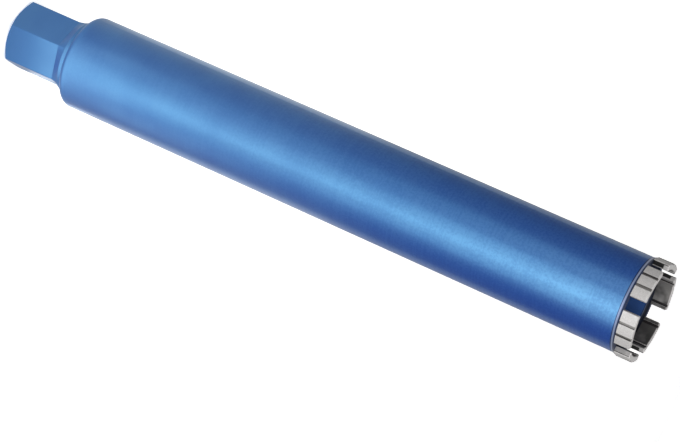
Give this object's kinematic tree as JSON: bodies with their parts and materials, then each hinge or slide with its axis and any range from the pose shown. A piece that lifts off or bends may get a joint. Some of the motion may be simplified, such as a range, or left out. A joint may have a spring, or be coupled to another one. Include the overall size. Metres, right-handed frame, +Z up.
{
  "type": "diamond core bit",
  "caption": "Long tubular core drill bit with a crown of grooved diamond segments and a hexagonal hub threaded right through.",
  "frame": {"origin": "centre of the hub's flat end face, on which the bit stands", "axes": "+Z up the tube's axis from the hub to the cutting face; +X through a corner of the hexagon"},
  "size_m": [0.0634, 0.0634, 0.4539],
  "materials": {
    "blue_paint": "satin metallic blue paint over brushed steel",
    "segment_metal": "ground sintered metal"
  },
  "bodies": {
    "root": {"hub": "blue_paint", "tube": "blue_paint", "segment_1": "segment_metal", "segment_2": "segment_metal", "segment_3": "segment_metal", "segment_4": "segment_metal", "segment_5": "segment_metal", "segment_6": "segment_metal"}
  },
  "joints": []
}
